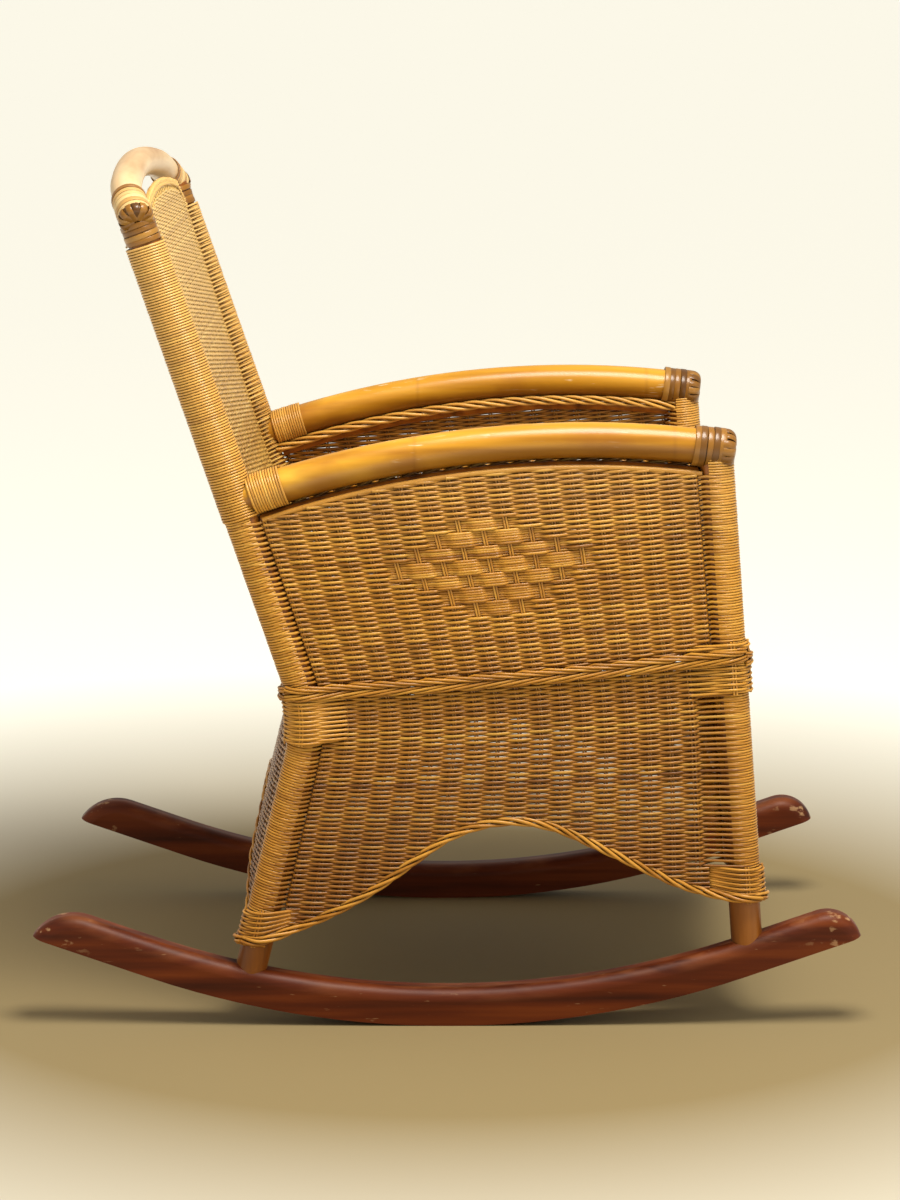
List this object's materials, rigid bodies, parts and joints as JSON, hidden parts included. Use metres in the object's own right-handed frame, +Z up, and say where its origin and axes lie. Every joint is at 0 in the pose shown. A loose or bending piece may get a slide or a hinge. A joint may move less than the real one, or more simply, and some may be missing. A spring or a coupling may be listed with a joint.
{
  "type": "rattan rocking chair",
  "caption": "Rocking chair of bent rattan poles on bow rockers, with woven reed sides, seat and back, arched skirts, bowed arms and an arched top rail.",
  "frame": {"origin": "on the floor, below the middle of the chair's box", "axes": "+X the way the sitter faces, +Y to the sitter's left, +Z up"},
  "size_m": [0.914, 0.5922, 0.9473],
  "materials": {
    "stained_wood": "stained, satin, worn at the edges",
    "rattan_pole": "varnished, satin",
    "varnished_pole": "varnished, glossy",
    "pale_pole": "varnished, satin",
    "reed_weave": "varnished reed",
    "reed_plait": "varnished reed",
    "reed_wrap": "varnished reed",
    "pale_cane": "varnished cane",
    "dark_cane": "dark peel, glossy",
    "screw_steel": "plain"
  },
  "bodies": {
    "root": {"rocker_left": "stained_wood", "rocker_right": "stained_wood", "front_post_left": "rattan_pole", "front_post_right": "rattan_pole", "rear_post_left": "rattan_pole", "rear_post_right": "rattan_pole", "arm_rail_left": "varnished_pole", "arm_rail_right": "varnished_pole", "arm_under_rail_left": "rattan_pole", "arm_under_rail_right": "rattan_pole", "seat_rail_left": "rattan_pole", "seat_rail_right": "rattan_pole", "seat_bearer_left": "rattan_pole", "seat_bearer_right": "rattan_pole", "arm_panel_left": "reed_weave", "arm_panel_right": "reed_weave", "side_skirt_left": "reed_weave", "side_skirt_right": "reed_weave", "seat_braid_left": "reed_plait", "seat_braid_right": "reed_plait", "hem_braid_left": "reed_plait", "hem_braid_right": "reed_plait", "arm_braid_left": "reed_plait", "arm_braid_right": "reed_plait", "rear_post_wrap_left": "reed_wrap", "rear_post_wrap_right": "reed_wrap", "rear_leg_wrap_left": "reed_wrap", "rear_leg_wrap_right": "reed_wrap", "front_post_wrap_left": "reed_wrap", "front_post_wrap_right": "reed_wrap", "front_leg_wrap_left": "reed_wrap", "front_leg_wrap_right": "reed_wrap", "arm_rear_binding_left": "pale_cane", "arm_rear_binding_right": "pale_cane", "arm_front_cap_left": "dark_cane", "arm_front_cap_right": "dark_cane", "top_rail_cap_left": "dark_cane", "top_rail_cap_right": "dark_cane", "top_rail_binding_left": "pale_cane", "top_rail_binding_right": "pale_cane", "post_top_sleeve_left": "dark_cane", "post_top_sleeve_right": "dark_cane", "top_rail": "pale_pole", "seat_rail_front": "rattan_pole", "seat_rail_rear": "rattan_pole", "leg_stretcher_front": "rattan_pole", "leg_stretcher_rear": "rattan_pole", "front_skirt": "reed_weave", "rear_skirt": "reed_weave", "back_panel": "reed_weave", "seat_panel": "reed_weave", "seat_braid_front": "reed_plait", "seat_braid_rear": "reed_plait", "hem_braid_front": "reed_plait", "hem_braid_rear": "reed_plait", "back_border": "reed_plait", "rocker_screws": "screw_steel", "arm_screws": "screw_steel", "top_rail_screws": "screw_steel"}
  },
  "joints": []
}
